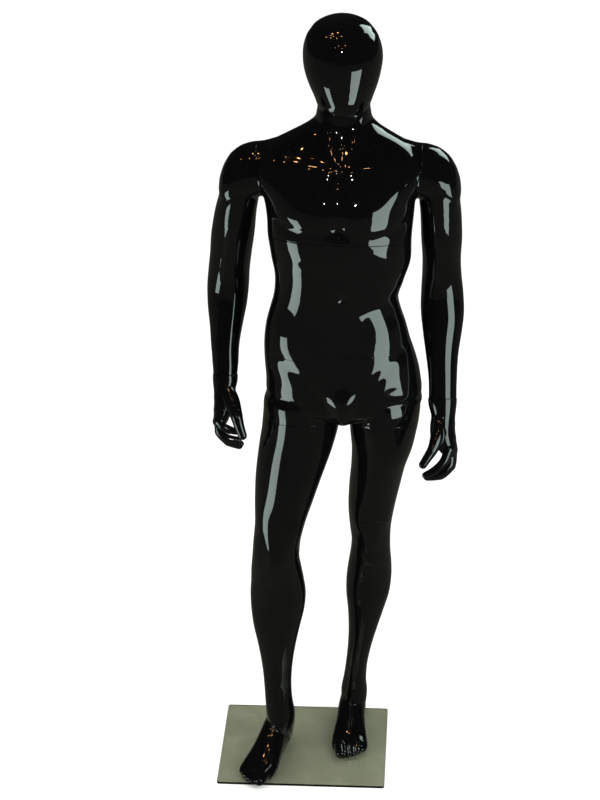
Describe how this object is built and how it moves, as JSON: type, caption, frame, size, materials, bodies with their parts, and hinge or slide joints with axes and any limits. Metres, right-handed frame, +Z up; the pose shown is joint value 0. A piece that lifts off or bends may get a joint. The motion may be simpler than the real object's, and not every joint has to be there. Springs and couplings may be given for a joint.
{
  "type": "full body mannequin",
  "caption": "Glossy black full body male mannequin with a faceless egg head, relaxed stance, take-apart limbs with twist locks, foot spigot and rectangular clear glass base.",
  "frame": {"origin": "centre of the glass base's underside, on the floor", "axes": "+Z up, the figure faces -Y, +X is the figure's own left"},
  "size_m": [0.577, 0.3683, 1.8384],
  "materials": {
    "gloss_shell": "high gloss black lacquer over moulded glass-fibre shell",
    "zinc_steel": "pressed and zinc-plated steel",
    "chrome": "polished chrome",
    "clear_glass": "clear tempered float glass with polished edges",
    "gasket_rubber": "smooth black rubber",
    "nylon": "natural nylon"
  },
  "bodies": {
    "base": {"glass_base": "clear_glass", "base_gasket": "gasket_rubber", "base_flange": "chrome", "base_bushing": "nylon", "foot_spigot": "chrome", "base_screw": "zinc_steel"},
    "lower_leg": {"left_lower_leg_shell": "gloss_shell", "foot_socket": "zinc_steel", "socket_set_screw": "zinc_steel", "knee_socket_plate": "zinc_steel", "knee_socket_plate_screw_1": "zinc_steel", "knee_socket_plate_screw_2": "zinc_steel"},
    "pelvis": {"pelvis_shell": "gloss_shell", "knee_stud": "zinc_steel", "hip_socket_plate": "zinc_steel", "hip_socket_plate_screw_1": "zinc_steel", "hip_socket_plate_screw_2": "zinc_steel", "thigh_socket_plate": "zinc_steel", "thigh_socket_plate_screw_1": "zinc_steel", "thigh_socket_plate_screw_2": "zinc_steel"},
    "leg": {"right_leg_shell": "gloss_shell", "leg_stud": "zinc_steel"},
    "abdomen": {"abdomen_shell": "gloss_shell", "abdomen_stud": "zinc_steel", "waist_socket_plate": "zinc_steel", "waist_socket_plate_screw_1": "zinc_steel", "waist_socket_plate_screw_2": "zinc_steel"},
    "chest": {"chest_shell": "gloss_shell", "chest_stud": "zinc_steel", "neck_socket_plate": "zinc_steel", "neck_socket_plate_screw_1": "zinc_steel", "neck_socket_plate_screw_2": "zinc_steel", "right_shoulder_socket_plate": "zinc_steel", "right_shoulder_socket_plate_screw_1": "zinc_steel", "right_shoulder_socket_plate_screw_2": "zinc_steel", "left_shoulder_socket_plate": "zinc_steel", "left_shoulder_socket_plate_screw_1": "zinc_steel", "left_shoulder_socket_plate_screw_2": "zinc_steel"},
    "head": {"head_shell": "gloss_shell", "head_stud": "zinc_steel"},
    "arm_right": {"right_arm_shell": "gloss_shell", "right_arm_stud": "zinc_steel", "right_wrist_socket_plate": "zinc_steel"},
    "arm_left": {"left_arm_shell": "gloss_shell", "left_arm_stud": "zinc_steel", "left_wrist_socket_plate": "zinc_steel"},
    "hand_right": {"right_hand": "gloss_shell", "right_hand_stud": "zinc_steel"},
    "hand_left": {"left_hand": "gloss_shell", "left_hand_stud": "zinc_steel"}
  },
  "joints": [
    {"name": "figure_lift", "type": "slide", "parent": "base", "child": "lower_leg", "axis": [0, 0, 1], "range_m": [0, 0.14]},
    {"name": "knee_lock_turn", "type": "hinge", "parent": "lower_leg", "child": "pelvis", "pos_m": [0.16, 0.033, 0.6464], "axis": [0, 0.0499, 0.9988], "range_deg": [0, 60]},
    {"name": "right_leg_turn", "type": "hinge", "parent": "pelvis", "child": "leg", "pos_m": [-0.002, 0.002, 0.8994], "axis": [0, -0.2696, -0.963], "range_deg": [-60, 0]},
    {"name": "hip_lock_turn", "type": "hinge", "parent": "pelvis", "child": "abdomen", "pos_m": [0.086, 0, 1.0764], "axis": [-0.0493, 0.1578, 0.9862], "range_deg": [-60, 0]},
    {"name": "waist_lock_turn", "type": "hinge", "parent": "abdomen", "child": "chest", "pos_m": [0.089, -0.006, 1.3524], "axis": [0.0295, 0.1771, 0.9838], "range_deg": [0, 12]},
    {"name": "head_turn", "type": "hinge", "parent": "chest", "child": "head", "pos_m": [0.097, 0.022, 1.6524], "axis": [0, 0, 1], "range_deg": [-90, 90]},
    {"name": "right_arm_swing", "type": "hinge", "parent": "chest", "child": "arm_right", "pos_m": [-0.083, 0.02, 1.4974], "axis": [-0.9903, 0, -0.1386], "range_deg": [-15, 75]},
    {"name": "left_arm_swing", "type": "hinge", "parent": "chest", "child": "arm_left", "pos_m": [0.259, 0.02, 1.4974], "axis": [0.9903, 0, -0.1386], "range_deg": [-75, 0]},
    {"name": "right_hand_turn", "type": "hinge", "parent": "arm_right", "child": "hand_right", "pos_m": [-0.1715, 0.014, 1.0004], "axis": [0, -0.3387, -0.9409], "range_deg": [0, 90]},
    {"name": "left_hand_turn", "type": "hinge", "parent": "arm_left", "child": "hand_left", "pos_m": [0.32, -0.044, 0.9784], "axis": [0, -0.3872, -0.922], "range_deg": [-90, 0]}
  ]
}
